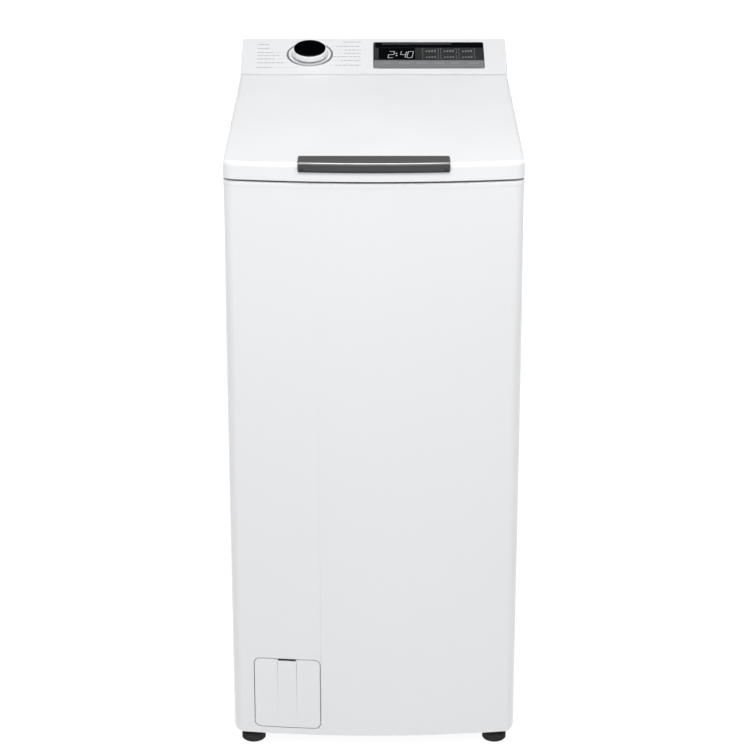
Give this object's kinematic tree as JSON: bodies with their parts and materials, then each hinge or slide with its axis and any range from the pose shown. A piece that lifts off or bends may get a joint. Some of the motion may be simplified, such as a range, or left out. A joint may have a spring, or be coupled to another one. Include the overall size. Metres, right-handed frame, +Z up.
{
  "type": "top load washing machine",
  "caption": "Narrow upright washing machine with a full-width hinged lid over a horizontal drum, a sloping control console and a pump filter flap.",
  "frame": {"origin": "on the floor under the middle of the machine's overall box", "axes": "+Z up, front towards -Y, +X to the right of a person facing the front"},
  "size_m": [0.4, 0.6, 0.9],
  "materials": {
    "white_enamel": "white powder coat, satin",
    "white_gloss_plastic": "white moulding, soft gloss",
    "white_plastic": "white moulding, matt",
    "gunmetal": "dark anodised, brushed along its length",
    "black_glass": "polished black window",
    "black_gloss": "polished black",
    "bright_ring": "satin chrome",
    "grey_plastic": "grey moulding",
    "black_plastic": "black moulding",
    "galvanised": "zinc coated sheet",
    "stainless": "stainless, fine brushed",
    "tub_plastic": "filled polypropylene",
    "black_rubber": "black rubber",
    "grey_rubber": "grey rubber",
    "cast_aluminium": "as cast",
    "concrete": "cast concrete",
    "board_green": "circuit board",
    "filter_blue": "blue moulding",
    "tray_blue": "pale blue moulding",
    "rotor_steel": "laminated steel",
    "bolt_red": "orange red moulding"
  },
  "bodies": {
    "cabinet": {"base_frame": "black_plastic", "side_panel_left": "white_enamel", "side_panel_right": "white_enamel", "front_panel": "white_enamel", "rear_cover": "galvanised", "rear_screws": "galvanised", "top_frame": "white_plastic", "console_panel": "white_gloss_plastic", "display_window": "black_glass", "display_board": "board_green", "knob_ring": "bright_ring", "knob_encoder": "black_plastic", "control_module": "grey_plastic", "lid_lock": "black_plastic", "hinge_brackets": "galvanised", "suspension_rails": "galvanised", "inlet_valve": "white_plastic", "fill_hose": "black_rubber", "mains_gland": "black_rubber", "filter_surround": "white_plastic", "filter_housing": "white_plastic", "drain_pump": "black_plastic", "outlet_pipe": "grey_plastic", "tub_drain_hose": "black_rubber", "rear_feet": "black_rubber", "dampers": "black_plastic", "tub_bellows": "grey_rubber", "suspension_springs": "galvanised"},
    "lid": {"lid_outer": "white_gloss_plastic", "lid_inner": "white_plastic", "lid_handle": "gunmetal", "lid_striker": "galvanised", "lid_hinge_pins": "stainless", "dispenser_housing": "white_plastic"},
    "detergent_tray": {"detergent_tray": "tray_blue"},
    "program_knob": {"knob_body": "white_gloss_plastic", "knob_cap": "black_gloss"},
    "filter_cover": {"filter_cover": "white_gloss_plastic"},
    "pump_filter": {"pump_filter": "filter_blue"},
    "pump_impeller": {"pump_impeller": "white_plastic"},
    "front_foot_left": {"front_foot_left": "black_rubber"},
    "front_foot_right": {"front_foot_right": "black_rubber"},
    "lock_bolt": {"lock_bolt": "bolt_red"},
    "tub": {"tub_left": "tub_plastic", "tub_right": "tub_plastic", "tub_gasket": "black_rubber", "counterweights": "concrete", "drum_bearings": "stainless", "motor_housing": "cast_aluminium", "heater": "stainless", "drive_belt": "black_rubber", "damper_rods": "stainless"},
    "drum": {"drum_shell": "stainless", "drum_ends": "stainless", "drum_lifters": "white_plastic", "drum_pulley": "cast_aluminium"},
    "drum_flap_front": {"drum_flap_front": "stainless"},
    "drum_flap_rear": {"drum_flap_rear": "stainless"},
    "flap_latch": {"flap_latch": "filter_blue"},
    "motor_rotor": {"motor_rotor": "rotor_steel"}
  },
  "joints": [
    {"name": "lid_hinge", "type": "hinge", "parent": "cabinet", "child": "lid", "pos_m": [0, 0.183, 0.854], "axis": [-1, 0, 0], "range_deg": [0, 85]},
    {"name": "detergent_tray_slide", "type": "slide", "parent": "lid", "child": "detergent_tray", "axis": [0, -1, 0], "range_m": [0, 0.05]},
    {"name": "program_knob_turn", "type": "hinge", "parent": "cabinet", "child": "program_knob", "pos_m": [-0.097, 0.25062, 0.88214], "axis": [0, -0.2882, 0.9576], "continuous": true},
    {"name": "filter_cover_hinge", "type": "hinge", "parent": "cabinet", "child": "filter_cover", "pos_m": [-0.12262, -0.28609, 0.039], "axis": [0.9952, -0.0978, 0], "range_deg": [0, 85]},
    {"name": "pump_filter_turn", "type": "hinge", "parent": "cabinet", "child": "pump_filter", "pos_m": [-0.123, -0.262, 0.076], "axis": [0, 1, 0], "range_deg": [-90, 0]},
    {"name": "impeller_spin", "type": "hinge", "parent": "cabinet", "child": "pump_impeller", "pos_m": [-0.123, -0.112, 0.076], "axis": [0, 1, 0], "continuous": true},
    {"name": "front_foot_left_turn", "type": "hinge", "parent": "cabinet", "child": "front_foot_left", "pos_m": [-0.173, -0.262, 0.03], "axis": [0, 0, 1], "range_deg": [-360, 360]},
    {"name": "front_foot_right_turn", "type": "hinge", "parent": "cabinet", "child": "front_foot_right", "pos_m": [0.173, -0.262, 0.03], "axis": [0, 0, 1], "range_deg": [-360, 360]},
    {"name": "lock_bolt_slide", "type": "slide", "parent": "cabinet", "child": "lock_bolt", "axis": [1, 0, 0], "range_m": [0, 0.014]},
    {"name": "tub_float", "type": "slide", "parent": "cabinet", "child": "tub", "axis": [0, 0, 1], "range_m": [-0.015, 0.015], "stiffness_N_per_m": 60000, "springref_m": 0.00583, "deforming": ["suspension_springs", "tub_bellows", "tub_drain_hose"]},
    {"name": "drum_spin", "type": "hinge", "parent": "tub", "child": "drum", "pos_m": [0, -0.02, 0.4], "axis": [1, 0, 0], "range_deg": [-360, 360]},
    {"name": "drum_flap_front_hinge", "type": "hinge", "parent": "drum", "child": "drum_flap_front", "pos_m": [0, -0.132, 0.58455], "axis": [1, 0, 0], "range_deg": [0, 95]},
    {"name": "drum_flap_rear_hinge", "type": "hinge", "parent": "drum", "child": "drum_flap_rear", "pos_m": [0, 0.092, 0.58455], "axis": [-1, 0, 0], "range_deg": [0, 95]},
    {"name": "flap_latch_slide", "type": "slide", "parent": "drum_flap_front", "child": "flap_latch", "axis": [0, 1, 0], "range_m": [0, 0.005]},
    {"name": "motor_spin", "type": "hinge", "parent": "tub", "child": "motor_rotor", "pos_m": [0, 0.15, 0.13], "axis": [1, 0, 0], "range_deg": [-4910, 4910]}
  ],
  "couplings": [
    {"joint": "motor_spin", "follows": "drum_spin", "ratio": 13.636}
  ]
}
